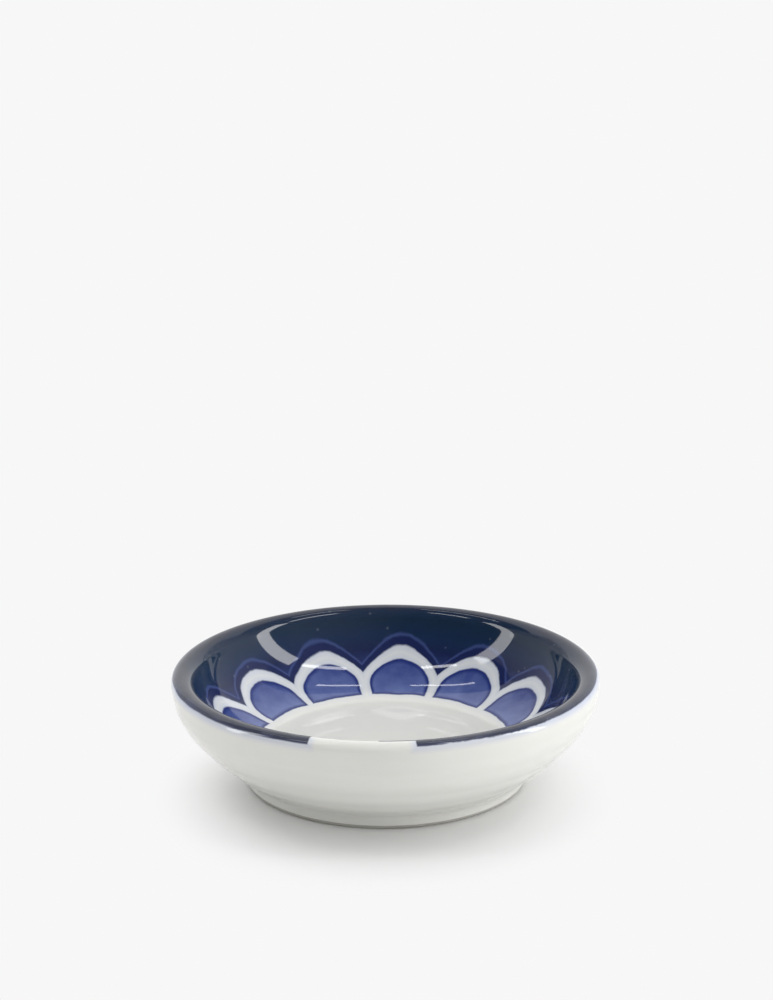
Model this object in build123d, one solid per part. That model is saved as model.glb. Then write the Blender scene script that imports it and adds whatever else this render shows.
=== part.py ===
from build123d import *
import os
from math import asin, atan2, cos, degrees, hypot, radians, sin, sqrt

# Driving dimensions, mm.
RIM_DIAMETER = 95.0
HEIGHT = 25.25
LIP_OUTSIDE = 2.025  # radius of the lip's outer side
LIP_INSIDE = 3.45  # radius of the lip's inner side
INSIDE_LEAN = 18.4  # degrees that the inner wall leans outward at the lip
UPPER_RADIUS = 14.8  # curve of the outside under the lip
LOWER_RADIUS = 45.8  # flatter curve of the outside above the foot
FOOT_DIAMETER = 63.0
FOOT_HOLLOW = 3.55  # radius of the hollow turn from the foot to the wall
FOOT_RING = 3.4  # width of the bare standing ring
FOOT_RECESS = 3.4  # depth of the hollow inside the standing ring
FLOOR = 4.2  # thickness of the floor between the hollow and the well
FOOT_EDGE = 0.4  # rounding of the standing ring
RECESS_CORNER = 0.7
GLAZE = 0.35  # thickness of the fired glaze
GLAZE_STOP = 0.8  # height above the table at which the glaze ends on the foot
RING_COUNT = 3  # throwing rings on the lower wall
RING_DEPTH = 0.12
PAINT_EDGE = 20.0  # degrees above level on the lip, where the rim line stops outside
SECTORS = 12  # the paint fills all but one of them
GAP_START = -111.0  # degrees from +X at which the open sector begins
PETAL_BELOW_LIP = 8.475  # plan distance from the lip's crest to a petal's tip
PETAL_LENGTH = 9.0
PETAL_ROUND = 4.8  # length of the petal's round end
LINE_WIDTH = 2.0  # reserved white line around and between petals


def polar(center, radius, angle):
    """Point at an angle in degrees around a centre."""
    return (center[0] + radius * cos(radians(angle)), center[1] + radius * sin(radians(angle)))


def bearing(start, end):
    """Angle in degrees from one point to another."""
    return degrees(atan2(end[1] - start[1], end[0] - start[0]))


def circles_meet(first, first_r, second, second_r):
    """Left-hand meeting point of two circles, seen from the first toward the second."""
    apart = hypot(second[0] - first[0], second[1] - first[1])
    along = (apart**2 + first_r**2 - second_r**2) / (2 * apart)
    across = sqrt(first_r**2 - along**2)
    way = bearing(first, second)
    return polar(polar(first, along, way), across, way + 90)


# The outside is a chain of tangent arcs: upper curve, lower curve, hollow turn above the foot.
rim_r = RIM_DIAMETER / 2
foot_r = FOOT_DIAMETER / 2
lip_center = (rim_r - LIP_OUTSIDE, HEIGHT - LIP_OUTSIDE)
upper_center = (rim_r - UPPER_RADIUS, lip_center[1])
hollow_center = (foot_r + FOOT_HOLLOW, GLAZE_STOP)
lower_center = circles_meet(
    hollow_center, LOWER_RADIUS + FOOT_HOLLOW, upper_center, LOWER_RADIUS - UPPER_RADIUS
)
turn_angle = bearing(lower_center, upper_center)
foot_angle = bearing(lower_center, hollow_center)

# The inside is the lip's inner side and one hollow curve that ends level at the flat well floor.
floor_z = FOOT_RECESS + FLOOR
lip_inside_center = (lip_center[0], HEIGHT - LIP_INSIDE)
lean_angle = 180 - INSIDE_LEAN
level_share = 1 - sin(radians(INSIDE_LEAN))
inside_radius = (HEIGHT - floor_z) / level_share - LIP_INSIDE
inside_center = polar(lip_inside_center, LIP_INSIDE + inside_radius, lean_angle)

# The standing ring is bare, so the body's own surface sets its two edges.
ring_outer_r = foot_r - GLAZE
ring_inner_r = ring_outer_r - FOOT_RING
recess_corner = min(RECESS_CORNER, (FOOT_RECESS - GLAZE_STOP) / 2)

# Paint layout in plan.
sector = 360.0 / SECTORS
gap_end = GAP_START + sector
petal_tip = lip_center[0] - PETAL_BELOW_LIP
petal_base = petal_tip - PETAL_LENGTH
petal_shoulder = petal_tip - PETAL_ROUND
petal_half = sector / 2 - degrees(asin(LINE_WIDTH / 2 / petal_base))


def turn(center, radius, start, end):
    """Arc around a centre between two angles in degrees."""
    return ThreePointArc(
        polar(center, radius, start),
        polar(center, radius, (start + end) / 2),
        polar(center, radius, end),
    )


def outer_wall(inset):
    """Edges of the outside from the lip's level down to the top of the upright foot."""
    return [
        turn(upper_center, UPPER_RADIUS - inset, 0, turn_angle),
        turn(lower_center, LOWER_RADIUS - inset, turn_angle, foot_angle),
        turn(hollow_center, FOOT_HOLLOW + inset, foot_angle + 180, 180),
    ]


def ringed_wall():
    """Edges of the glazed outside, with shallow throwing rings on its lower curve."""
    step = (foot_angle - turn_angle) / RING_COUNT
    rings = []
    for i in range(RING_COUNT):
        start = turn_angle + i * step
        start_depth = RING_DEPTH if i else 0
        end_depth = RING_DEPTH if i + 1 < RING_COUNT else 0
        ring = ThreePointArc(
            polar(lower_center, LOWER_RADIUS - start_depth, start),
            polar(lower_center, LOWER_RADIUS, start + step / 2),
            polar(lower_center, LOWER_RADIUS - end_depth, start + step),
        )
        rings.append(ring)
    upper, _, hollow = outer_wall(0)
    return [upper, *rings, hollow]


def over_lip(inset, start):
    """Edges over the lip, from an angle on its outer side to the top of the inner wall."""
    return [
        turn(lip_center, LIP_OUTSIDE - inset, start, 90),
        turn(lip_inside_center, LIP_INSIDE - inset, 90, lean_angle),
    ]


def inner_wall(inset):
    """Edges of the inside from the lip down to the axis."""
    return [
        turn(inside_center, inside_radius + inset, -INSIDE_LEAN, -90),
        Line((inside_center[0], floor_z - inset), (0, floor_z - inset)),
    ]


def lip_seam():
    """Edge through the glaze where the lip's coat meets the inner wall's."""
    ends = [polar(lip_inside_center, LIP_INSIDE - inset, lean_angle) for inset in (0, GLAZE)]
    return Line(*ends)


def rim_seam():
    """Edge through the glaze where the rim line stops on the lip's outer side."""
    ends = [polar(lip_center, LIP_OUTSIDE - inset, PAINT_EDGE) for inset in (0, GLAZE)]
    return Line(*ends)


def recess(inset):
    """Edges of the hollow under the floor, from the axis out to the bare ring."""
    wall_r = ring_inner_r - GLAZE + inset
    ceiling = FOOT_RECESS + inset
    corner_r = recess_corner + inset
    center = (wall_r - corner_r, ceiling - corner_r)
    return [
        Line((0, ceiling), (center[0], ceiling)),
        turn(center, corner_r, 90, 0),
        Line((wall_r, center[1]), (wall_r, GLAZE_STOP)),
    ]


def turned(edges, angle=360.0, start=0.0):
    """Solid turned about the upright axis from a closed chain of edges."""
    solid = revolve(Plane.XZ * make_face(edges), Axis.Z, angle)
    return Rot(0, 0, start) * solid


def porcelain_body():
    """The fired body, bare only on its standing ring."""
    outer_edge = (ring_outer_r - FOOT_EDGE, FOOT_EDGE)
    inner_edge = (ring_inner_r + FOOT_EDGE, FOOT_EDGE)
    edges = [
        *over_lip(GLAZE, 0),
        *outer_wall(GLAZE),
        Line((ring_outer_r, GLAZE_STOP), (ring_outer_r, FOOT_EDGE)),
        turn(outer_edge, FOOT_EDGE, 0, -90),
        Line((outer_edge[0], 0), (inner_edge[0], 0)),
        turn(inner_edge, FOOT_EDGE, -90, -180),
        Line((ring_inner_r, FOOT_EDGE), (ring_inner_r, GLAZE_STOP)),
        *recess(GLAZE),
        Line((0, FOOT_RECESS + GLAZE), (0, floor_z - GLAZE)),
        *inner_wall(GLAZE),
    ]
    return turned(edges)


def outer_glaze():
    """Clear glaze outside, from the rim line down to the foot."""
    edges = [
        turn(lip_center, LIP_OUTSIDE, PAINT_EDGE, 0),
        *ringed_wall(),
        Line((foot_r, GLAZE_STOP), (ring_outer_r, GLAZE_STOP)),
        *outer_wall(GLAZE),
        turn(lip_center, LIP_OUTSIDE - GLAZE, PAINT_EDGE, 0),
        rim_seam(),
    ]
    return turned(edges)


def foot_well_glaze():
    """Clear glaze in the hollow inside the standing ring."""
    edges = [
        *recess(0),
        Line((ring_inner_r - GLAZE, GLAZE_STOP), (ring_inner_r, GLAZE_STOP)),
        *recess(GLAZE),
        Line((0, FOOT_RECESS), (0, FOOT_RECESS + GLAZE)),
    ]
    return turned(edges)


def lip_glaze(start, angle):
    """A stretch of the glaze over the lip."""
    edges = [*over_lip(0, PAINT_EDGE), lip_seam(), *over_lip(GLAZE, PAINT_EDGE), rim_seam()]
    return turned(edges, angle, start)


def inside_glaze():
    """The whole glaze layer inside the dish, before it is divided by colour."""
    edges = [
        *inner_wall(0),
        Line((0, floor_z), (0, floor_z - GLAZE)),
        *inner_wall(GLAZE),
        lip_seam(),
    ]
    return turned(edges)


def petal_plan(angle):
    """Plan of one petal, with a round tip that points outward at an angle."""
    axis = (0, 0)
    base_left, base_right = (polar(axis, petal_base, side * petal_half) for side in (1, -1))
    left, right = (polar(axis, petal_shoulder, side * petal_half) for side in (1, -1))
    edges = [
        ThreePointArc(base_left, (petal_base, 0), base_right),
        Line(base_right, right),
        ThreePointArc(right, (petal_tip, 0), left),
        Line(left, base_left),
    ]
    return Rot(0, 0, angle) * make_face(edges)


def open_sector():
    """Plan of the one sector that the paint leaves white."""
    far = 2 * rim_r
    angles = (GAP_START, GAP_START + sector / 2, gap_end)
    corners = [polar((0, 0), far, angle) for angle in angles]
    return make_face(Polyline((0, 0), *corners, close=True))


def column(plan):
    """Upright prism through the whole dish over a plan shape."""
    return extrude(plan, 2 * HEIGHT)


def inside_colours():
    """The inside glaze divided into the white well, the blue wall and the petals."""
    petals = [petal_plan(gap_end + sector * (i + 0.5)) for i in range(SECTORS - 1)]
    ground = Circle(rim_r) - Circle(petal_base) - open_sector()
    for petal in petals:
        ground -= offset(petal, LINE_WIDTH)
    layer = inside_glaze()
    parts = {"wall_glaze": layer & column(ground)}
    well = layer - column(ground)
    for number, petal in enumerate(petals, 1):
        parts[f"petal_{number:02d}"] = layer & column(petal)
        well -= column(petal)
    parts["well_glaze"] = well
    return parts


def dish():
    """Every named part of the dish."""
    parts = {
        "porcelain_body": porcelain_body(),
        "outer_glaze": outer_glaze(),
        "foot_well_glaze": foot_well_glaze(),
        "rim_line": lip_glaze(gap_end, 360 - sector),
        "rim_gap_glaze": lip_glaze(GAP_START, sector),
    }
    parts.update(inside_colours())
    return parts


os.makedirs("parts", exist_ok=True)
for name, shape in dish().items():
    export_step(shape, f"parts/{name}.step")
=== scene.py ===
"""Looks of a porcelain soy sauce dish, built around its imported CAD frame."""

import logging
import math
from dataclasses import dataclass, field
from enum import Enum
from typing import Any

import bmesh
import bpy
from mathutils import Matrix, Vector


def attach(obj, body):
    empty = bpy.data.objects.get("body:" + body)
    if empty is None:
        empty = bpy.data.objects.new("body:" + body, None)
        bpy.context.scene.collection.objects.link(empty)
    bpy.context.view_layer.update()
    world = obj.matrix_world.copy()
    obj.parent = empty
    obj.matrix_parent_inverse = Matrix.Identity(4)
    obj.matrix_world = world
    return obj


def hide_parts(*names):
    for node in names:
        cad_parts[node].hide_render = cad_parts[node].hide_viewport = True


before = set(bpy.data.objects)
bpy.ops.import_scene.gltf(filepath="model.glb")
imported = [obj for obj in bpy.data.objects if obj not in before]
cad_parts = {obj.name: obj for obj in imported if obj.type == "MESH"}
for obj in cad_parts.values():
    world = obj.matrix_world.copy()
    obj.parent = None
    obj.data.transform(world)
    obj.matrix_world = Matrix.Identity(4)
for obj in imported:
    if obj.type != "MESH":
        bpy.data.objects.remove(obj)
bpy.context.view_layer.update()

LOG = logging.getLogger("soy_sauce_dish")
MM = 0.001
MERGE_MM = 0.002
FAR_MM = 90.0  # farther than any painted edge reaches
CREST_LAYER = "from_crest_mm"
DISH = (0.0, 0.0, 0.02)

# Shader nodes and settings that recur.
COORDS = "ShaderNodeTexCoord"
MATH = "ShaderNodeMath"
MIX = "ShaderNodeMix"
NOISE = "ShaderNodeTexNoise"
OUTPUT = "ShaderNodeOutputMaterial"
RAMP = "ShaderNodeMapRange"
SURFACE = "ShaderNodeBsdfPrincipled"
VECTOR = "ShaderNodeVectorMath"
COLOUR = {"data_type": "RGBA"}
SOFT = {"interpolation_type": "SMOOTHSTEP"}

Point = tuple[float, float]


class Lamp(Enum):
    """The soft boxes of the studio."""

    LEFT = "left_softbox"
    RIGHT = "right_softbox"
    LEFT_STRIP = "left_ceiling_strip"
    RIGHT_STRIP = "right_ceiling_strip"
    LEFT_WEDGE = "left_front_strip"
    RIGHT_WEDGE = "right_front_strip"
    LEFT_FILL = "left_fill"
    RIGHT_FILL = "right_fill"
    FRONT = "front_fill"
    HIGH_FRONT = "high_front_fill"
    TOP = "top_fill"


def linear(hex_colour: str) -> tuple[float, float, float, float]:
    """Turns an sRGB hex colour into linear RGBA.

    Args:
        hex_colour: Six hex digits.

    Returns:
        The linear colour with an alpha of 1.
    """
    channels = (int(hex_colour[i : i + 2], 16) / 255 for i in (0, 2, 4))
    red, green, blue = (c / 12.92 if c <= 0.04045 else ((c + 0.055) / 1.055) ** 2.4 for c in channels)
    return red, green, blue, 1.0


def add_node(
    tree: bpy.types.NodeTree, kind: str, inputs: dict | None = None, **settings: Any
) -> bpy.types.Node:
    """Adds a node with its settings and links.

    Args:
        tree: The node tree to add to.
        kind: Blender's name for the node type.
        inputs: Input socket name or number to a plain value, a socket or a node whose first output is meant.
        settings: Attributes of the node itself.

    Returns:
        The new node.
    """
    node = tree.nodes.new(kind)
    for name, value in settings.items():
        setattr(node, name, value)
    for name, value in (inputs or {}).items():
        if isinstance(value, bpy.types.Node):
            value = value.outputs[0]
        if isinstance(value, bpy.types.NodeSocket):
            tree.links.new(value, node.inputs[name])
        else:
            node.inputs[name].default_value = value
    return node


def empty_material(name: str) -> bpy.types.Material:
    """Makes a material with no nodes in it.

    Args:
        name: Name of the material.

    Returns:
        The new material.
    """
    made = bpy.data.materials.new(name)
    made.use_nodes = True
    made.node_tree.nodes.clear()
    return made


def placed(name: str, shape: bmesh.types.BMesh) -> bpy.types.Object:
    """Turns a shape into an object of the scene, at the origin.

    Args:
        name: Name of the object and of its mesh.
        shape: The shape, which is freed.

    Returns:
        The new object.
    """
    mesh = bpy.data.meshes.new(name)
    shape.to_mesh(mesh)
    shape.free()
    piece = bpy.data.objects.new(name, mesh)
    bpy.context.scene.collection.objects.link(piece)
    return piece


def polar(center: Point, radius: float, angle: float) -> Point:
    """Gives the point at an angle in radians around a centre."""
    return center[0] + radius * math.cos(angle), center[1] + radius * math.sin(angle)


def bearing(start: Point, end: Point) -> float:
    """Gives the angle in radians from one point to another."""
    return math.atan2(end[1] - start[1], end[0] - start[0])


def arc(center: Point, radius: float, start: float, end: float, step: float) -> list[Point]:
    """Samples an arc at an even spacing.

    Args:
        center: Centre of the arc.
        radius: Its radius in millimetres.
        start: First angle in radians.
        end: Last angle in radians.
        step: Longest spacing of the points in millimetres.

    Returns:
        The points with both ends.
    """
    count = max(2, math.ceil(abs(end - start) * radius / step))
    return [polar(center, radius, start + (end - start) * i / count) for i in range(count + 1)]


def joined(*runs: list[Point]) -> list[Point]:
    """Chains runs of points, each starting where the last one ended.

    Args:
        runs: The runs in their order.

    Returns:
        One run without the doubled points.
    """
    chain = list(runs[0])
    for run in runs[1:]:
        chain.extend(run[1:])
    return chain


@dataclass(frozen=True)
class DishSection:
    """Upright half section of the dish in millimetres, a chain of tangent arcs."""

    rim_radius: float = 47.5
    height: float = 25.25
    lip_outside: float = 2.025
    lip_inside: float = 3.45
    inside_lean: float = math.radians(18.4)
    upper_radius: float = 14.8
    lower_radius: float = 45.8
    foot_radius: float = 31.5
    foot_hollow: float = 3.55
    foot_ring: float = 3.4
    foot_recess: float = 3.4
    floor: float = 4.2
    recess_corner: float = 0.7
    glaze: float = 0.35
    glaze_stop: float = 0.8
    bead: float = 0.22
    ring_heights: tuple[float, ...] = (20.3, 16.4, 11.6, 7.7)
    ring_depth: float = 0.15
    ring_spread: float = 1.2
    step: float = 0.6
    lip_step: float = 0.22
    hidden_step: float = 3.0

    @property
    def lip_center(self) -> Point:
        """Centre of the lip's outer side."""
        return self.rim_radius - self.lip_outside, self.height - self.lip_outside

    @property
    def lip_inside_center(self) -> Point:
        """Centre of the lip's inner side."""
        return self.lip_center[0], self.height - self.lip_inside

    @property
    def inside_radius(self) -> float:
        """Radius of the inner wall, which ends level at the well floor."""
        fall = self.height - self.foot_recess - self.floor
        return fall / (1 - math.sin(self.inside_lean)) - self.lip_inside

    @property
    def inside_center(self) -> Point:
        """Centre of the inner wall's curve."""
        apart = self.lip_inside + self.inside_radius
        return polar(self.lip_inside_center, apart, math.pi - self.inside_lean)

    @property
    def upper_center(self) -> Point:
        """Centre of the curve under the lip."""
        return self.rim_radius - self.upper_radius, self.lip_center[1]

    @property
    def hollow_center(self) -> Point:
        """Centre of the hollow turn above the foot."""
        return self.foot_radius + self.foot_hollow, self.glaze_stop

    @property
    def lower_center(self) -> Point:
        """Finds the flatter curve that touches the upper curve and the hollow turn.

        Returns:
            The centre of that curve.
        """
        first, second = self.hollow_center, self.upper_center
        first_radius = self.lower_radius + self.foot_hollow
        second_radius = self.lower_radius - self.upper_radius
        apart = math.dist(first, second)
        along = (apart**2 + first_radius**2 - second_radius**2) / (2 * apart)
        across = math.sqrt(first_radius**2 - along**2)
        way = bearing(first, second)
        return polar(polar(first, along, way), across, way + math.pi / 2)

    @property
    def turn_angle(self) -> float:
        """Angle at which the lower curve meets the upper one."""
        return bearing(self.lower_center, self.upper_center)

    @property
    def foot_angle(self) -> float:
        """Angle at which the lower curve meets the hollow turn."""
        return bearing(self.lower_center, self.hollow_center)

    @property
    def ring_inner_radius(self) -> float:
        """Inner radius of the bare standing ring."""
        return self.foot_radius - self.glaze - self.foot_ring

    def outside(self, inset: float, step: float) -> list[Point]:
        """Samples the outside from the lip's level down to the foot.

        Args:
            inset: Depth below the glaze's surface.
            step: Longest spacing of the points, halved on the tight turn above the foot.

        Returns:
            The points from the top down.
        """
        return joined(
            arc(self.upper_center, self.upper_radius - inset, 0, self.turn_angle, step),
            arc(self.lower_center, self.lower_radius - inset, self.turn_angle, self.foot_angle, step),
            arc(self.hollow_center, self.foot_hollow + inset, self.foot_angle + math.pi, math.pi, step / 2),
        )

    def lip(self, inset: float, step: float) -> list[Point]:
        """Samples the lip from its outside over the crest to the top of the inner wall.

        Args:
            inset: Depth below the glaze's surface.
            step: Longest spacing of the points.

        Returns:
            The points from the outside in.
        """
        crest, inner_end = math.pi / 2, math.pi - self.inside_lean
        return joined(
            arc(self.lip_center, self.lip_outside - inset, 0, crest, step),
            arc(self.lip_inside_center, self.lip_inside - inset, crest, inner_end, step),
        )

    def inside(self, inset: float, step: float) -> list[Point]:
        """Samples the inside from the lip down to the axis.

        Args:
            inset: Depth below the glaze's surface.
            step: Longest spacing of the points, doubled on the flat floor.

        Returns:
            The points from the top down.
        """
        radius = self.inside_radius + inset
        curve = arc(self.inside_center, radius, -self.inside_lean, -math.pi / 2, step)
        edge, floor = curve[-1]
        count = math.ceil(edge / (2 * step))
        return joined(curve, [(edge * (1 - i / count), floor) for i in range(count + 1)])

    def recess(self, inset: float, step: float) -> list[Point]:
        """Samples the hollow under the floor from the axis out to the bare ring.

        Args:
            inset: Depth below the glaze's surface.
            step: Longest spacing of the points, doubled on the flat and a third at the corner.

        Returns:
            The points from the axis outward.
        """
        wall = self.ring_inner_radius - self.glaze + inset
        ceiling = self.foot_recess + inset
        radius = self.recess_corner + inset
        center = wall - radius, ceiling - radius
        count = math.ceil(center[0] / (2 * step))
        flat = [(center[0] * i / count, ceiling) for i in range(count + 1)]
        corner = arc(center, radius, math.pi / 2, 0, step / 3)
        return joined(flat, corner, [(wall, center[1]), (wall, self.glaze_stop)])

    def ringed(self, point: Point) -> Point:
        """Moves a point of the outside in where a throwing ring dips."""
        dips = (math.exp(-(((point[1] - z) / self.ring_spread) ** 2)) for z in self.ring_heights)
        return point[0] - self.ring_depth * sum(dips), point[1]


@dataclass
class Spot:
    """Sockets that tell where a point of the dish lies, in millimetres and radians."""

    place: bpy.types.Node
    radius: bpy.types.NodeSocket
    angle: bpy.types.Node
    crest: bpy.types.NodeSocket


def find_spot(tree: bpy.types.NodeTree) -> Spot:
    """Works out where each point of the dish lies.

    Args:
        tree: The material's node tree.

    Returns:
        The sockets with the place, the angle round the axis and the distance from the lip's crest.
    """
    coords = add_node(tree, COORDS).outputs["Object"]
    place = add_node(tree, VECTOR, {0: coords, "Scale": 1 / MM}, operation="SCALE")
    axes = add_node(tree, "ShaderNodeSeparateXYZ", {0: place})
    flat = add_node(tree, VECTOR, {0: place, 1: (1, 1, 0)}, operation="MULTIPLY")
    radius = add_node(tree, VECTOR, {0: flat}, operation="LENGTH").outputs["Value"]
    angle = add_node(tree, MATH, {0: axes.outputs["Y"], 1: axes.outputs["X"]}, operation="ARCTAN2")
    crest = add_node(tree, "ShaderNodeAttribute", attribute_name=CREST_LAYER).outputs["Fac"]
    return Spot(place, radius, angle, crest)


@dataclass
class Unevenness:
    """Sockets that move the painted edges, in millimetres."""

    drift: bpy.types.Node
    fast: bpy.types.Node
    calm: bpy.types.Node
    smear: bpy.types.Node


@dataclass(frozen=True)
class BrushHand:
    """How unevenly the hand and the brush draw an edge, in millimetres and degrees."""

    waver_length: float = 9.0
    waver: float = 0.35
    rag_length: float = 1.6
    rag: float = 0.07
    noise_spread: tuple[float, float] = (0.25, 0.75)
    rim_share: float = 0.3
    smudge_center: float = -59.0
    smudge_half: float = 22.0
    smudge_fade: float = 8.0
    smudge: tuple[float, float] = (0.3, 2.4)

    def unevenness(self, tree: bpy.types.NodeTree, spot: Spot) -> Unevenness:
        """Works out how far the hand and the brush move each painted edge.

        Args:
            tree: The material's node tree.
            spot: The sockets with the place.

        Returns:
            The sockets with the movements.
        """
        # The hand wavers slowly, and the brush leaves a finely ragged edge.
        waver = add_node(tree, NOISE, {"Vector": spot.place, "Scale": 1 / self.waver_length, "Detail": 1.0})
        ragged = add_node(tree, NOISE, {"Vector": spot.place, "Scale": 1 / self.rag_length, "Detail": 2.0})
        low, high = self.noise_spread
        slow, fast = (
            add_node(
                tree,
                RAMP,
                {"Value": noise, "From Min": low, "From Max": high, "To Min": -most, "To Max": most},
            )
            for noise, most in ((waver, self.waver), (ragged, self.rag))
        )
        drift = add_node(tree, MATH, {0: slow, 1: fast}, operation="ADD")

        # The rim line's edge wavers less, and is most ragged on one smudged stretch.
        calm = add_node(tree, MATH, {0: slow, 1: self.rim_share}, operation="MULTIPLY")
        center = math.radians(self.smudge_center)
        from_smudge = add_node(tree, MATH, {0: spot.angle, 1: center}, operation="SUBTRACT")
        off_smudge = add_node(tree, MATH, {0: from_smudge}, operation="ABSOLUTE")
        clean, smudged = self.smudge
        smudge = add_node(
            tree,
            RAMP,
            {
                "Value": off_smudge,
                "From Min": math.radians(self.smudge_half),
                "From Max": math.radians(self.smudge_half - self.smudge_fade),
                "To Min": clean,
                "To Max": smudged,
            },
        )
        smear = add_node(tree, MATH, {0: smudge, 1: fast, 2: calm}, operation="MULTIPLY_ADD")
        return Unevenness(drift, fast, calm, smear)


@dataclass
class PaintEdges:
    """Sockets that tell the paint's edges, in millimetres, positive where there is paint."""

    spot: Spot
    ground: bpy.types.Node
    petal: bpy.types.Node
    rim: bpy.types.Node
    past: bpy.types.Node


@dataclass(frozen=True)
class PaintLayout:
    """Plan of the painted petal border in millimetres and degrees."""

    sectors: int = 12
    gap_center: float = -96.0
    gap_half: float = 13.75
    petal_base: float = 28.0
    petal_shoulder: float = 32.2
    petal_tip: float = 37.0
    shoulder_blend: float = 1.4
    line_width: float = 2.0
    spandrel: float = 31.0
    rim_edge: tuple[float, float] = (-2.0, -1.55)
    rim_sway: float = 0.5
    trail_center: float = -86.2
    trail_half: float = 5.6
    trail_crest: float = 0.55
    trail_width: float = 0.6
    hand: BrushHand = field(default_factory=BrushHand)

    @property
    def half_sector(self) -> float:
        """Half the angle of a sector in radians."""
        return math.pi / self.sectors

    @property
    def petal_half(self) -> float:
        """Half the angle of a petal in radians."""
        return self.half_sector - math.asin(self.line_width / 2 / self.petal_base)

    @property
    def tip_radius(self) -> float:
        """Fits the petal's round tip between its shoulders.

        Returns:
            The radius of the tip.
        """
        across = self.petal_shoulder * math.sin(self.petal_half)
        rise = self.petal_tip - self.petal_shoulder * math.cos(self.petal_half)
        return (across**2 + rise**2) / (2 * rise)

    @property
    def tip_center(self) -> float:
        """Distance from the axis to the centre of the petal's round tip."""
        return self.petal_tip - self.tip_radius

    def arch(
        self, tree: bpy.types.NodeTree, spot: Spot, turn: bpy.types.Node, drift: bpy.types.Node
    ) -> bpy.types.Node:
        """Draws one petal with straight sides and a round tip, repeated in every sector.

        Args:
            tree: The material's node tree.
            spot: The sockets with the place.
            turn: The angle from the open sector's middle.
            drift: The unevenness of the edge.

        Returns:
            The distance inside a petal's sides and tip.
        """
        half = self.half_sector
        local = add_node(tree, MATH, {0: turn, 1: half, 2: -half}, operation="WRAP")
        off = add_node(tree, MATH, {0: local}, operation="ABSOLUTE")
        inward = add_node(tree, MATH, {0: self.petal_half, 1: off}, operation="SUBTRACT")
        side = add_node(tree, MATH, {0: inward, 1: spot.radius}, operation="MULTIPLY")
        cosine = add_node(tree, MATH, {0: local}, operation="COSINE")
        sine = add_node(tree, MATH, {0: local}, operation="SINE")
        ahead = {0: cosine, 1: spot.radius, 2: -self.tip_center}
        along = add_node(tree, MATH, ahead, operation="MULTIPLY_ADD")
        across = add_node(tree, MATH, {0: sine, 1: spot.radius}, operation="MULTIPLY")
        from_tip = add_node(tree, "ShaderNodeCombineXYZ", {"X": along, "Y": across})
        reach = add_node(tree, VECTOR, {0: from_tip}, operation="LENGTH").outputs["Value"]
        cap = add_node(tree, MATH, {0: self.tip_radius, 1: reach}, operation="SUBTRACT")
        form = add_node(tree, MATH, {0: side, 1: cap, 2: self.shoulder_blend}, operation="SMOOTH_MIN")
        return add_node(tree, MATH, {0: form, 1: drift}, operation="ADD")

    def trail(self, tree: bpy.types.NodeTree, spot: Spot) -> bpy.types.Node:
        """Draws the thin trail of the brush that crosses the open stretch just inside the crest.

        Args:
            tree: The material's node tree.
            spot: The sockets with the place.

        Returns:
            The distance inside the trail.
        """
        center, half = math.radians(self.trail_center), math.radians(self.trail_half)
        from_center = add_node(tree, MATH, {0: spot.angle, 1: center}, operation="SUBTRACT")
        off_center = add_node(tree, MATH, {0: from_center}, operation="ABSOLUTE")
        inward = add_node(tree, MATH, {0: half, 1: off_center}, operation="SUBTRACT")
        end = add_node(tree, MATH, {0: inward, 1: spot.radius}, operation="MULTIPLY")
        off_line = add_node(tree, MATH, {0: spot.crest, 1: self.trail_crest}, operation="SUBTRACT")
        beside = add_node(tree, MATH, {0: off_line}, operation="ABSOLUTE")
        in_line = add_node(tree, MATH, {0: self.trail_width / 2, 1: beside}, operation="SUBTRACT")
        return add_node(tree, MATH, {0: in_line, 1: end}, operation="MINIMUM")

    def edges(self, tree: bpy.types.NodeTree) -> PaintEdges:
        """Works out how far each point lies from the painted edges.

        Args:
            tree: The material's node tree.

        Returns:
            The sockets with the distances.
        """
        spot = find_spot(tree)
        uneven = self.hand.unevenness(tree, spot)

        # Open sector: distance along the circle from its two ends.
        turn = add_node(tree, MATH, {0: spot.angle, 1: math.radians(self.gap_center)}, operation="SUBTRACT")
        around = add_node(tree, MATH, {0: turn, 1: math.pi, 2: -math.pi}, operation="WRAP")
        aside = add_node(tree, MATH, {0: around}, operation="ABSOLUTE")
        past_angle = add_node(tree, MATH, {0: aside, 1: math.radians(self.gap_half)}, operation="SUBTRACT")
        past = add_node(tree, MATH, {0: past_angle, 1: spot.radius}, operation="MULTIPLY")
        gap = add_node(tree, MATH, {0: past, 1: uneven.fast}, operation="ADD")

        # Petals: inside their outline and above their base, on the inner wall and past the open sector.
        arch = self.arch(tree, spot, turn, uneven.drift)
        above_base = add_node(tree, MATH, {0: spot.radius, 1: self.petal_base}, operation="SUBTRACT")
        base = add_node(tree, MATH, {0: above_base, 1: uneven.drift}, operation="ADD")
        within = add_node(tree, MATH, {0: arch, 1: base}, operation="MINIMUM")
        indoors = add_node(tree, MATH, {0: within, 1: spot.crest}, operation="MINIMUM")
        petal = add_node(tree, MATH, {0: indoors, 1: gap}, operation="MINIMUM")

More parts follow.
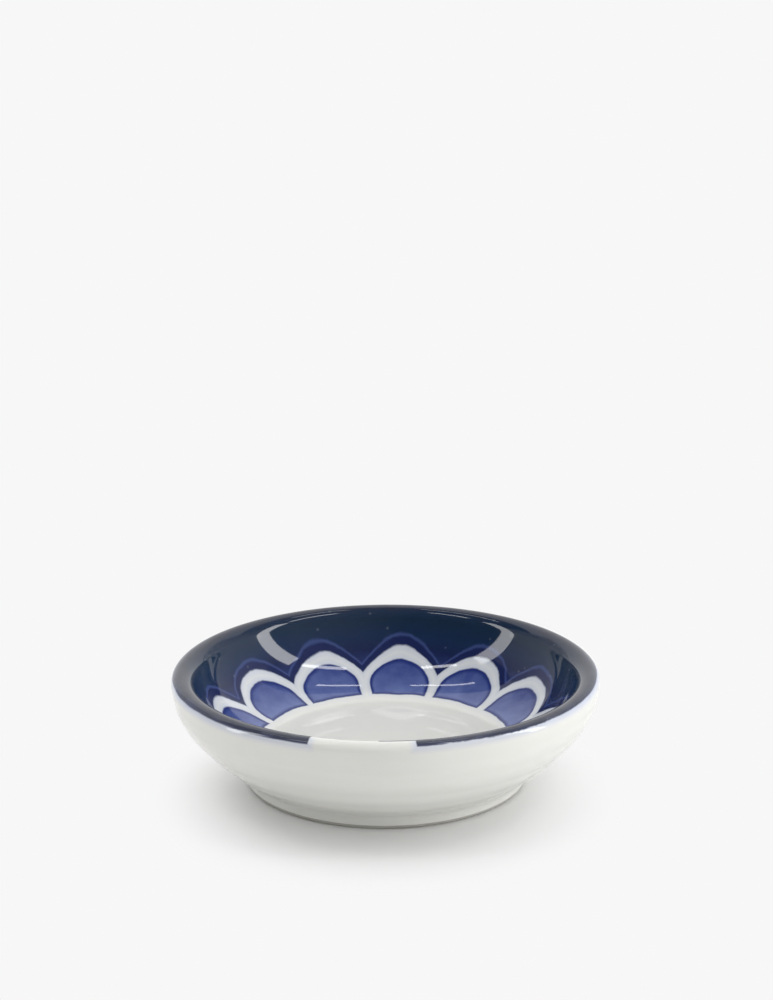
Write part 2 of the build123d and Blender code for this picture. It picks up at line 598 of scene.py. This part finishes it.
        # Dark ground: beyond the white line round each petal, up the wall and over the lip.
        outline = add_node(tree, MATH, {0: -self.line_width, 1: arch}, operation="SUBTRACT")
        spandrel = add_node(tree, MATH, {0: spot.radius, 1: self.spandrel}, operation="SUBTRACT")
        wall = add_node(tree, MATH, {0: outline, 1: spandrel}, operation="MINIMUM")
        left, right = self.rim_edge
        sine = add_node(tree, MATH, {0: around}, operation="SINE")
        sway = {"From Min": -self.rim_sway, "From Max": self.rim_sway}
        brink = add_node(tree, RAMP, {"Value": sine, **sway, "To Min": left, "To Max": right})
        over = add_node(tree, MATH, {0: spot.crest, 1: brink}, operation="SUBTRACT")
        lipped = add_node(tree, MATH, {0: over, 1: uneven.smear}, operation="ADD")
        lip = add_node(tree, MATH, {0: lipped, 1: gap}, operation="MINIMUM")
        filled = add_node(tree, MATH, {0: wall, 1: lip}, operation="MINIMUM")
        ground = add_node(tree, MATH, {0: filled, 1: self.trail(tree, spot)}, operation="MAXIMUM")

        # The rim line's outer edge once more, calmer, and pushed far off inside the crest.
        wavy = add_node(tree, MATH, {0: over, 1: uneven.calm}, operation="ADD")
        outside = add_node(tree, MATH, {0: wavy, 1: past}, operation="MINIMUM")
        inputs = {"Value": spot.crest, "From Min": 0.0, "From Max": 1.0, "To Max": -FAR_MM}
        indoor = add_node(tree, RAMP, inputs)
        rim = add_node(tree, MATH, {0: outside, 1: indoor}, operation="ADD")
        return PaintEdges(spot, ground, petal, rim, past)


@dataclass(frozen=True)
class PaintedGlaze:
    """Porcelain painted with cobalt under a clear, fired glaze, with its sizes in millimetres."""

    white: str = "EFEFEA"
    ground: tuple[tuple[float, str], ...] = (
        (-3.0, "565E80"),
        (-1.9, "484E6A"),
        (-0.9, "444858"),
        (0.8, "2C3040"),
        (2.6, "213048"),
        (5.0, "1E324A"),
        (9.0, "1D3052"),
        (12.0, "1E2950"),
        (18.0, "33407A"),
    )
    cloud_length: float = 4.0
    cloud_spread: tuple[float, float] = (0.3, 0.7)
    cloud: float = 0.6
    wall_start: tuple[float, float] = (5.0, 8.0)
    ground_blur: float = 0.2
    halo: str = "4A5A94"
    halo_band: tuple[float, float] = (1.75, 1.4)
    halo_strength: float = 0.6
    contour: str = "1B2452"
    contour_band: tuple[float, float] = (1.35, 1.0)
    contour_strength: float = 0.9
    speck: str = "9AA0A8"
    speck_spacing: float = 4.5
    speck_band: tuple[float, float] = (0.1, 0.05)
    speck_strength: float = 0.14
    petal_edge: str = "263579"
    petal_tip: str = "3A4A8C"
    petal_base: str = "6E7DB4"
    petal_cloud: float = 0.33
    petal_start: float = 0.1
    petal_blur: float = 0.18
    pool_band: tuple[float, float] = (1.2, 0.2)
    # Bluish tint beside the paint: partly cobalt bleed, partly painted shade and painted reflection of the
    # blue wall.
    breath_and_shade: str = "C3CDE2"
    breath_and_shade_band: tuple[float, float] = (-1.8, 0.1)
    breath_and_shade_strength: float = 0.7
    breath_and_shade_rise: tuple[float, float] = (-1.0, 2.0)
    breath_and_shade_low: float = 0.3
    bleed: str = "CBD3E9"
    bleed_band: tuple[float, float] = (-2.0, 0.2)
    bleed_strength: float = 0.9
    bleed_growth: tuple[float, float] = (6.0, 45.0)
    bleed_low: float = 0.65
    ripple_length: float = 5.0
    ripple_strength: float = 0.15
    ripple_depth: float = 0.05
    roughness: float = 0.045
    ior: float = 1.5
    layout: PaintLayout = field(default_factory=PaintLayout)

    def dark_wall(
        self, tree: bpy.types.NodeTree, paint: PaintEdges, cloud: bpy.types.Node, on_wall: bpy.types.Node
    ) -> bpy.types.NodeSocket:
        """Colours the dark ground with its drawn contour.

        Args:
            tree: The material's node tree.
            paint: The sockets with the distances.
            cloud: The unevenness of the wash.
            on_wall: How far down the inner wall the contour is drawn.

        Returns:
            The colour of the ground.
        """
        # Blue at the rim line's outer edge, greyer toward and over the crest, then bluer down the wall.
        first, last = self.ground[0][0], self.ground[-1][0]
        height = add_node(tree, MATH, {0: paint.spot.crest, 1: cloud}, operation="ADD")
        level = add_node(tree, RAMP, {"Value": height, "From Min": first, "From Max": last})
        wash = add_node(tree, "ShaderNodeValToRGB", {0: level})
        stops = wash.color_ramp.elements
        stops[0].color, stops[1].color = linear(self.ground[0][1]), linear(self.ground[-1][1])
        for position, tone in self.ground[1:-1]:
            stops.new((position - first) / (last - first)).color = linear(tone)

        # A dark contour follows the white lines, with a pale halo outside it.
        shade = wash.outputs["Color"]
        for tone, (start, end), strength in (
            (self.halo, self.halo_band, self.halo_strength),
            (self.contour, self.contour_band, self.contour_strength),
        ):
            inputs = {"Value": paint.ground, "From Min": start, "From Max": end, "To Max": strength}
            near = add_node(tree, RAMP, inputs, **SOFT)
            drawn = add_node(tree, MATH, {0: near, 1: on_wall}, operation="MULTIPLY")
            mixed = add_node(tree, MIX, {"Factor": drawn, "A": shade, "B": linear(tone)}, **COLOUR)
            shade = mixed.outputs["Result"]

        # Pinholes in the glaze show as pale specks.
        inputs = {"Vector": paint.spot.place, "Scale": 1 / self.speck_spacing}
        away = add_node(tree, "ShaderNodeTexVoronoi", inputs).outputs["Distance"]
        start, end = self.speck_band
        inputs = {"Value": away, "From Min": start, "From Max": end, "To Max": self.speck_strength}
        pit = add_node(tree, RAMP, inputs, **SOFT)
        pitted = add_node(tree, MIX, {"Factor": pit, "A": shade, "B": linear(self.speck)}, **COLOUR)
        return pitted.outputs["Result"]

    def petal_wash(
        self, tree: bpy.types.NodeTree, paint: PaintEdges, cloud: bpy.types.Node
    ) -> bpy.types.NodeSocket:
        """Colours the petals: a pale wash toward the well, with pigment pooled along the edge.

        Args:
            tree: The material's node tree.
            paint: The sockets with the distances.
            cloud: The unevenness of the wash.

        Returns:
            The colour of the petals.
        """
        span = {"From Min": self.layout.petal_base, "From Max": self.layout.petal_tip}
        fade = add_node(tree, RAMP, {"Value": paint.spot.radius, **span, "To Min": self.petal_start})
        uneven = {0: cloud, 1: self.petal_cloud, 2: fade}
        cloudy = add_node(tree, MATH, uneven, operation="MULTIPLY_ADD", use_clamp=True)
        tones = {"A": linear(self.petal_base), "B": linear(self.petal_tip)}
        tint = add_node(tree, MIX, {"Factor": cloudy, **tones}, **COLOUR).outputs["Result"]
        start, end = self.pool_band
        pool = add_node(tree, RAMP, {"Value": paint.petal, "From Min": start, "From Max": end}, **SOFT)
        washed = add_node(tree, MIX, {"Factor": pool, "A": tint, "B": linear(self.petal_edge)}, **COLOUR)
        return washed.outputs["Result"]

    def white_glaze(
        self, tree: bpy.types.NodeTree, paint: PaintEdges, on_wall: bpy.types.Node
    ) -> bpy.types.NodeSocket:
        """Colours the white: a breath of blue beside the paint, partly cobalt bleed and partly painted shade
        and painted reflection of the blue wall on the inner wall's white lines, and a wide bleed below the
        rim line.

        Args:
            tree: The material's node tree.
            paint: The sockets with the distances.
            on_wall: How far down the inner wall the breath and its painted shade show.

        Returns:
            The colour of the unpainted glaze.
        """
        # Bluish tint beside the paint: partly cobalt bleeding into the glaze, partly painted shade and a
        # painted reflection of the blue wall, strongest on the inner wall's white lines.
        painted = add_node(tree, MATH, {0: paint.ground, 1: paint.petal}, operation="MAXIMUM")
        start, end = self.breath_and_shade_band
        inputs = {"Value": painted, "From Min": start, "From Max": end, "To Max": self.breath_and_shade_strength}
        fringe = add_node(tree, RAMP, inputs)
        low, high = (self.layout.petal_base + rise for rise in self.breath_and_shade_rise)
        inputs = {"Value": paint.spot.radius, "From Min": low, "From Max": high, "To Min": self.breath_and_shade_low}
        raised = add_node(tree, RAMP, inputs)
        indoors = add_node(tree, MATH, {0: raised, 1: on_wall}, operation="MULTIPLY")
        beside = add_node(tree, MATH, {0: fringe, 1: indoors}, operation="MULTIPLY")
        tones = {"A": linear(self.white), "B": linear(self.breath_and_shade)}
        plain = add_node(tree, MIX, {"Factor": beside, **tones}, **COLOUR).outputs["Result"]
        start, end = self.bleed_band
        inputs = {"Value": paint.rim, "From Min": start, "From Max": end, "To Max": self.bleed_strength}
        below = add_node(tree, RAMP, inputs, **SOFT)
        start, end = self.bleed_growth
        inputs = {"Value": paint.past, "From Min": start, "From Max": end, "To Min": self.bleed_low}
        growth = add_node(tree, RAMP, inputs)
        run = add_node(tree, MATH, {0: below, 1: growth}, operation="MULTIPLY")
        bled = add_node(tree, MIX, {"Factor": run, "A": plain, "B": linear(self.bleed)}, **COLOUR)
        return bled.outputs["Result"]

    def colour(self, tree: bpy.types.NodeTree, paint: PaintEdges) -> bpy.types.NodeSocket:
        """Lays the colours by their distances from the painted edges.

        Args:
            tree: The material's node tree.
            paint: The sockets with the distances.

        Returns:
            The colour of the glazed surface.
        """
        wash = add_node(
            tree, NOISE, {"Vector": paint.spot.place, "Scale": 1 / self.cloud_length, "Detail": 3.0}
        )
        low, high = self.cloud_spread
        most = self.cloud
        inputs = {"Value": wash, "From Min": low, "From Max": high, "To Min": -most, "To Max": most}
        cloud = add_node(tree, RAMP, inputs)
        start, end = self.wall_start
        on_wall = add_node(tree, RAMP, {"Value": paint.spot.crest, "From Min": start, "From Max": end})
        shade = self.white_glaze(tree, paint, on_wall)
        for edge, blur, tone in (
            (paint.petal, self.petal_blur, self.petal_wash(tree, paint, cloud)),
            (paint.ground, self.ground_blur, self.dark_wall(tree, paint, cloud, on_wall)),
        ):
            within = add_node(tree, RAMP, {"Value": edge, "From Min": -blur, "From Max": blur}, **SOFT)
            shade = add_node(tree, MIX, {"Factor": within, "A": shade, "B": tone}, **COLOUR).outputs["Result"]
        return shade

    def material(self) -> bpy.types.Material:
        """Makes the material.

        Returns:
            The painted and glazed porcelain.
        """
        # Underglaze cobalt on white clay: brushed areas with a darker contour and edges that bleed.
        made = empty_material("painted_glazed_porcelain")
        tree = made.node_tree
        paint = self.layout.edges(tree)
        # A fired glaze is never quite level: ripples a few millimetres long bend its reflections.
        ripple = add_node(
            tree, NOISE, {"Vector": paint.spot.place, "Scale": 1 / self.ripple_length, "Detail": 1.0}
        )
        depth = {"Strength": self.ripple_strength, "Distance": self.ripple_depth * MM}
        bump = add_node(tree, "ShaderNodeBump", {"Height": ripple, **depth})
        gloss = {"Roughness": self.roughness, "IOR": self.ior}
        shader = add_node(tree, SURFACE, {"Base Color": self.colour(tree, paint), **gloss, "Normal": bump})
        add_node(tree, OUTPUT, {"Surface": shader})
        return made


@dataclass(frozen=True)
class ClearGlaze:
    """Plain white porcelain under a clear, fired glaze, with its sizes in millimetres."""

    white: str = "E4E4DE"
    shaded: str = "CFCFC8"
    mottle_length: float = 6.0
    mottle_spread: tuple[float, float] = (0.3, 0.7)
    mottle_low: float = 0.95
    roughness: float = 0.1
    ior: float = 1.5

    def material(self) -> bpy.types.Material:
        """Makes the material.

        Returns:
            The plain glazed porcelain.
        """
        # Clear glaze over white clay: a glossy white, very faintly mottled.
        made = empty_material("clear_glazed_porcelain")
        tree = made.node_tree
        place = add_node(tree, COORDS).outputs["Object"]
        scale = 1 / (self.mottle_length * MM)
        mottle = add_node(tree, NOISE, {"Vector": place, "Scale": scale, "Detail": 2.0})
        low, high = self.mottle_spread
        inputs = {"Value": mottle, "From Min": low, "From Max": high, "To Min": self.mottle_low}
        shade = add_node(tree, RAMP, inputs)
        tones = {"A": linear(self.shaded), "B": linear(self.white)}
        colour = add_node(tree, MIX, {"Factor": shade, **tones}, **COLOUR).outputs["Result"]
        gloss = {"Roughness": self.roughness, "IOR": self.ior}
        shader = add_node(tree, SURFACE, {"Base Color": colour, **gloss})
        add_node(tree, OUTPUT, {"Surface": shader})
        return made


@dataclass(frozen=True)
class BarePorcelain:
    """Unglazed porcelain of the standing ring, with its sizes in millimetres."""

    # Both greys are kept darker than bare clay as painted shade along the foot's contact line; the second is
    # also a little toasted.
    pale: str = "C6C5BF"
    toasted_and_shaded: str = "B1AFA6"
    blush_length: float = 5.0
    grain_length: float = 0.35
    grain_strength: float = 0.4
    grain_depth: float = 0.05
    roughness: float = 0.75

    def material(self) -> bpy.types.Material:
        """Makes the material.

        Returns:
            The bare fired clay.
        """
        # Bare fired clay: matt, finely grained by the sponge, a little toasted, and darkened as painted shade
        # along the line where the foot meets the floor.
        made = empty_material("bare_fired_porcelain")
        tree = made.node_tree
        place = add_node(tree, COORDS).outputs["Object"]
        scale = 1 / (self.blush_length * MM)
        blush = add_node(tree, NOISE, {"Vector": place, "Scale": scale, "Detail": 3.0})
        scale = 1 / (self.grain_length * MM)
        grain = add_node(tree, NOISE, {"Vector": place, "Scale": scale, "Detail": 2.0})
        tones = {"A": linear(self.pale), "B": linear(self.toasted_and_shaded)}
        colour = add_node(tree, MIX, {"Factor": blush, **tones}, **COLOUR).outputs["Result"]
        depth = {"Strength": self.grain_strength, "Distance": self.grain_depth * MM}
        bump = add_node(tree, "ShaderNodeBump", {"Height": grain, **depth})
        shader = add_node(tree, SURFACE, {"Base Color": colour, "Roughness": self.roughness, "Normal": bump})
        add_node(tree, OUTPUT, {"Surface": shader})
        return made


def turned_mesh(name: str, chain: list[Point], marks: list[float], turns: int) -> bpy.types.Object:
    """Spins a chain of section points into a closed, smooth piece.

    Args:
        name: Name of the piece.
        chain: Section points in millimetres, from axis to axis.
        marks: One value per point, kept as a vertex layer.
        turns: Number of steps round the axis.

    Returns:
        The new object at the origin.
    """
    shape = bmesh.new()
    layer = shape.verts.layers.float.new(CREST_LAYER)
    points = []
    for (across, up), mark in zip(chain, marks):
        point = shape.verts.new((across * MM, 0.0, up * MM))
        point[layer] = mark
        points.append(point)
    edges = [shape.edges.new(pair) for pair in zip(points, points[1:])]
    bmesh.ops.spin(
        shape,
        geom=points + edges,
        cent=(0, 0, 0),
        axis=(0, 0, 1),
        angle=2 * math.pi,
        steps=turns,
        use_merge=True,
    )
    bmesh.ops.remove_doubles(shape, verts=shape.verts, dist=MERGE_MM * MM)
    bmesh.ops.recalc_face_normals(shape, faces=shape.faces)
    piece = placed(name, shape)
    piece.data.shade_smooth()
    return piece


@dataclass
class GlazeCoat:
    """The fired coat from the foot, up the outside, over the lip and down into the well."""

    section: DishSection = field(default_factory=DishSection)
    finish: PaintedGlaze = field(default_factory=PaintedGlaze)
    turns: int = 224

    def chain(self) -> tuple[list[Point], list[float]]:
        """Lists the section from the axis under the coat, round the foot's edge and back over the surface.

        Returns:
            The points, and for each the distance along the surface from the lip's crest.
        """
        cut = self.section
        rough = cut.hidden_step
        hidden = joined(
            list(reversed(cut.inside(cut.glaze, rough))),
            list(reversed(cut.lip(cut.glaze, rough / 3))),
            cut.outside(cut.glaze, rough),
        )
        foot, stop, bead = cut.foot_radius, cut.glaze_stop, cut.bead
        rounded = arc((foot - bead, stop + bead), bead, -math.pi / 2, 0, bead / 3)
        outside = [cut.ringed(p) for p in reversed(cut.outside(0, cut.step)) if p[1] > stop + bead]
        shown = joined(rounded + outside, cut.lip(0, cut.lip_step), cut.inside(0, cut.step))
        crest = max(range(len(shown)), key=lambda i: shown[i][1])
        run = [0.0]
        for start, end in zip(shown, shown[1:]):
            run.append(run[-1] + math.dist(start, end))
        marks = [r - run[crest] for r in run]
        return hidden + shown, [marks[0]] * len(hidden) + marks

    def build(self) -> bpy.types.Object:
        """Builds and dresses the coat.

        Returns:
            The coat.
        """
        chain, marks = self.chain()
        piece = turned_mesh("glaze_coat", chain, marks, self.turns)
        piece.data.materials.append(self.finish.material())
        petals = [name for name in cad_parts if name.startswith("petal_")]
        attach(piece, "root")
        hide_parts("outer_glaze", "rim_line", "rim_gap_glaze", "wall_glaze", "well_glaze", *petals)
        return piece


@dataclass
class FootWell:
    """The glazed hollow inside the standing ring."""

    section: DishSection = field(default_factory=DishSection)
    finish: ClearGlaze = field(default_factory=ClearGlaze)
    turns: int = 160

    def build(self) -> bpy.types.Object:
        """Builds and dresses the coat of the hollow.

        Returns:
            The coat.
        """
        cut = self.section
        chain = cut.recess(cut.glaze, cut.hidden_step) + list(reversed(cut.recess(0, cut.step)))
        piece = turned_mesh("foot_well_coat", chain, [0.0] * len(chain), self.turns)
        piece.data.materials.append(self.finish.material())
        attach(piece, "root")
        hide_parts("foot_well_glaze")
        return piece


@dataclass
class PorcelainBody:
    """The fired body, which shows only at its bare standing ring."""

    finish: BarePorcelain = field(default_factory=BarePorcelain)

    def build(self) -> bpy.types.Object:
        """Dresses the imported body.

        Returns:
            The body.
        """
        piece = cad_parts["porcelain_body"]
        piece.data.materials.clear()
        piece.data.materials.append(self.finish.material())
        return piece


@dataclass(frozen=True)
class Softbox:
    """A soft box of the studio, in metres."""

    lamp: Lamp
    place: tuple[float, float, float]
    aim: tuple[float, float, float]
    size: tuple[float, float]
    glow: float
    mirrored: bool = True

    def build(self) -> bpy.types.Object:
        """Hangs the lamp so that it faces its aim.

        Returns:
            The lamp.
        """
        data = bpy.data.lights.new(self.lamp.value, "AREA")
        data.shape = "RECTANGLE"
        data.size, data.size_y = self.size
        data.energy = self.glow * math.pi * self.size[0] * self.size[1]
        lamp = bpy.data.objects.new(self.lamp.value, data)
        lamp.location = self.place
        lamp.rotation_euler = (Vector(self.place) - Vector(self.aim)).to_track_quat("Z", "Y").to_euler()
        lamp.visible_camera = False
        lamp.visible_glossy = self.mirrored
        bpy.context.scene.collection.objects.link(lamp)
        return lamp


@dataclass
class Studio:
    """Pale floor and backdrop, soft boxes, cards and camera, in metres."""

    softboxes: tuple[Softbox, ...] = (
        Softbox(Lamp.RIGHT, (0.993, -0.122, 0.48), DISH, (0.19, 0.9), 6.9),
        Softbox(Lamp.LEFT, (-0.993, -0.122, 0.48), DISH, (0.19, 0.9), 5.3),
        Softbox(Lamp.RIGHT_STRIP, (0.24, 0.335, 1.0), (0.24, 0.335, 0.0), (0.26, 0.035), 8.0),
        Softbox(Lamp.LEFT_STRIP, (-0.33, 0.345, 1.0), (-0.33, 0.345, 0.0), (0.44, 0.03), 8.0),
        Softbox(Lamp.RIGHT_WEDGE, (0.5, -0.09, 1.0), (0.5, -0.09, 0.0), (0.46, 0.07), 9.0),
        Softbox(Lamp.LEFT_WEDGE, (-0.42, -0.11, 1.0), (-0.42, -0.11, 0.0), (0.34, 0.06), 9.0),
        Softbox(Lamp.FRONT, (0.6, -0.8, 0.3), DISH, (0.8, 0.5), 1.8, mirrored=False),
        Softbox(Lamp.HIGH_FRONT, (0.1, -0.7, 0.75), DISH, (0.5, 0.5), 1.0, mirrored=False),
        Softbox(Lamp.TOP, (0.0, 0.2, 1.1), (0.0, 0.0, 0.0), (0.6, 0.6), 1.5, mirrored=False),
        Softbox(Lamp.RIGHT_FILL, (0.65, 0.2, 0.8), DISH, (0.5, 0.5), 1.35, mirrored=False),
        Softbox(Lamp.LEFT_FILL, (-0.65, 0.2, 0.8), DISH, (0.5, 0.5), 1.55, mirrored=False),
    )
    pale: str = "F7F7F7"
    paper: str = "F0F0F0"
    floor_radius: float = 6.0
    floor_segments: int = 96
    floor_clearance: float = 0.00005
    shadow_reach: tuple[float, float] = (0.0285, 0.055)
    shadow_center: tuple[float, float, float] = (0.0, -0.009, 0.0)
    shadow_oval: tuple[float, float, float] = (1.05, 1.0, 1.0)
    card_tones: tuple[str, str] = ("343434", "C8C8C8")
    card_reach: float = 1.25
    card_half_width: float = 5.0
    card_end: float = 120.0
    card_steps: int = 24
    card_fade: tuple[float, float] = (-0.3, 1.6)
    flag_tones: tuple[str, str] = ("E6E6E6", "E6E6E6")
    flag_turn: tuple[float, float] = (89.0, 143.0)
    flag_steps: int = 8
    flag_height: float = 1.0
    lens: float = 81.37
    clip: tuple[float, float] = (0.01, 50.0)
    eye: tuple[float, float, float] = (0.00043, -0.475, 0.192)
    tilt: float = 0.26367
    roll: float = -0.0052

    def staged(self, name: str, shape: bmesh.types.BMesh) -> tuple[bpy.types.Object, bpy.types.NodeTree]:
        """Turns a shape into a piece of the studio with an empty material.

        Args:
            name: Name of the piece and of its material.
            shape: The shape, which is freed.

        Returns:
            The piece and its material's node tree.
        """
        piece = placed(name, shape)
        made = empty_material(name)
        piece.data.materials.append(made)
        return piece, made.node_tree

    def floor(self) -> bpy.types.Object:
        """Lays the pale floor, which keeps the dish's shadow and shows plain farther off.

        Returns:
            The floor.
        """
        shape = bmesh.new()
        under = Matrix.Translation((0, 0, -self.floor_clearance))
        bmesh.ops.create_circle(
            shape, cap_ends=True, segments=self.floor_segments, radius=self.floor_radius, matrix=under
        )
        piece, tree = self.staged("pale_floor", shape)
        # Matt white paper: a soft grey shadow round the foot that fades into an even backdrop.
        place = add_node(tree, COORDS).outputs["Object"]
        shifted = add_node(tree, VECTOR, {0: place, 1: self.shadow_center}, operation="SUBTRACT")
        oval = add_node(tree, VECTOR, {0: shifted, 1: self.shadow_oval}, operation="MULTIPLY")
        away = add_node(tree, VECTOR, {0: oval}, operation="LENGTH").outputs["Value"]
        near, far = self.shadow_reach
        plain = add_node(tree, RAMP, {"Value": away, "From Min": near, "From Max": far}, **SOFT)
        path = add_node(tree, "ShaderNodeLightPath").outputs
        through = {0: path["Is Glossy Ray"], 1: path["Is Transmission Ray"]}
        mirrored = add_node(tree, MATH, through, operation="MAXIMUM")
        looked = add_node(tree, MATH, {0: path["Is Camera Ray"], 1: mirrored}, operation="MAXIMUM")
        seen = add_node(tree, MATH, {0: plain, 1: looked}, operation="MULTIPLY")
        paper = add_node(tree, "ShaderNodeBsdfDiffuse", {"Color": linear(self.paper)})
        backdrop = add_node(tree, "ShaderNodeEmission", {"Color": linear(self.pale), "Strength": 1.0})
        mixed = add_node(tree, "ShaderNodeMixShader", {0: seen, 1: paper, 2: backdrop})
        add_node(tree, OUTPUT, {"Surface": mixed})
        return piece

    def card(self, name: str, bend: list[Vector], sweep: Vector, tones: tuple[str, str]) -> bpy.types.Object:
        """Hangs a bent card that the glaze mirrors and the camera doesn't see.

        Args:
            name: Name of the card.
            bend: Points along its bent edge.
            sweep: The way from that edge to the opposite one.
            tones: Colours of the card at the viewer's left and right.

        Returns:
            The card.
        """
        shape = bmesh.new()
        points = [shape.verts.new(point) for point in bend]
        edges = [shape.edges.new(pair) for pair in zip(points, points[1:])]
        swept = bmesh.ops.extrude_edge_only(shape, edges=edges)["geom"]
        moved = [part for part in swept if isinstance(part, bmesh.types.BMVert)]
        bmesh.ops.translate(shape, verts=moved, vec=sweep)
        piece, tree = self.staged(name, shape)
        # Matt card: an even grey in the glaze's reflections, which may grow lighter toward the right.
        place = add_node(tree, COORDS).outputs["Object"]
        across = add_node(tree, "ShaderNodeSeparateXYZ", {0: place}).outputs["X"]
        start, end = self.card_fade
        fade = add_node(tree, RAMP, {"Value": across, "From Min": start, "From Max": end})
        left, right = (linear(tone) for tone in tones)
        tone = add_node(tree, MIX, {"Factor": fade, "A": left, "B": right}, **COLOUR).outputs["Result"]
        paper = add_node(tree, "ShaderNodeBsdfDiffuse", {"Color": tone})
        add_node(tree, OUTPUT, {"Surface": paper})
        piece.visible_camera = False
        return piece

    def cards(self) -> None:
        """Hangs a dark card in front and overhead, and a pale flag at each side of the backdrop."""
        reach, wide = self.card_reach, self.card_half_width
        over = [math.radians(self.card_end) * i / self.card_steps for i in range(self.card_steps + 1)]
        bend = [Vector((-wide, -reach * math.cos(a), reach * math.sin(a))) for a in over]
        self.card("dark_card", bend, Vector((2 * wide, 0, 0)), self.card_tones)
        first, last = (math.radians(a) for a in self.flag_turn)
        turn = [first + (last - first) * i / self.flag_steps for i in range(self.flag_steps + 1)]
        for side, name in ((-1, "left_flag"), (1, "right_flag")):
            bend = [Vector((side * reach * math.sin(a), -reach * math.cos(a), 0.0)) for a in turn]
            self.card(name, bend, Vector((0, 0, self.flag_height)), self.flag_tones)

    def room(self) -> None:
        """Surrounds the set with an even, pale backdrop."""
        world = bpy.data.worlds.new("pale_backdrop")
        world.use_nodes = True
        tree = world.node_tree
        tree.nodes.clear()
        sky = add_node(tree, "ShaderNodeBackground", {"Color": linear(self.pale), "Strength": 1.0})
        add_node(tree, "ShaderNodeOutputWorld", {"Surface": sky})
        bpy.context.scene.world = world

    def camera(self) -> None:
        """Sets the camera where the photograph was taken from."""
        data = bpy.data.cameras.new("camera")
        data.lens = self.lens
        data.clip_start, data.clip_end = self.clip
        camera = bpy.data.objects.new("camera", data)
        aim = Matrix.Rotation(math.pi / 2 - self.tilt, 4, "X") @ Matrix.Rotation(self.roll, 4, "Z")
        camera.matrix_world = Matrix.Translation(self.eye) @ aim
        bpy.context.scene.collection.objects.link(camera)
        bpy.context.scene.camera = camera

    def build(self) -> None:
        """Sets up the whole studio."""
        self.floor()
        self.cards()
        self.room()
        for softbox in self.softboxes:
            softbox.build()
        self.camera()
        bpy.context.scene.view_settings.view_transform = "Standard"


def main() -> None:
    """Builds the dish and the studio, and reports each piece."""
    logging.basicConfig(level=logging.INFO, format="%(name)s: %(message)s")
    for part in (PorcelainBody(), GlazeCoat(), FootWell()):
        piece = part.build()
        LOG.info("%s: %d faces", piece.name, len(piece.data.polygons))
    Studio().build()


if __name__ == "__main__":
    main()
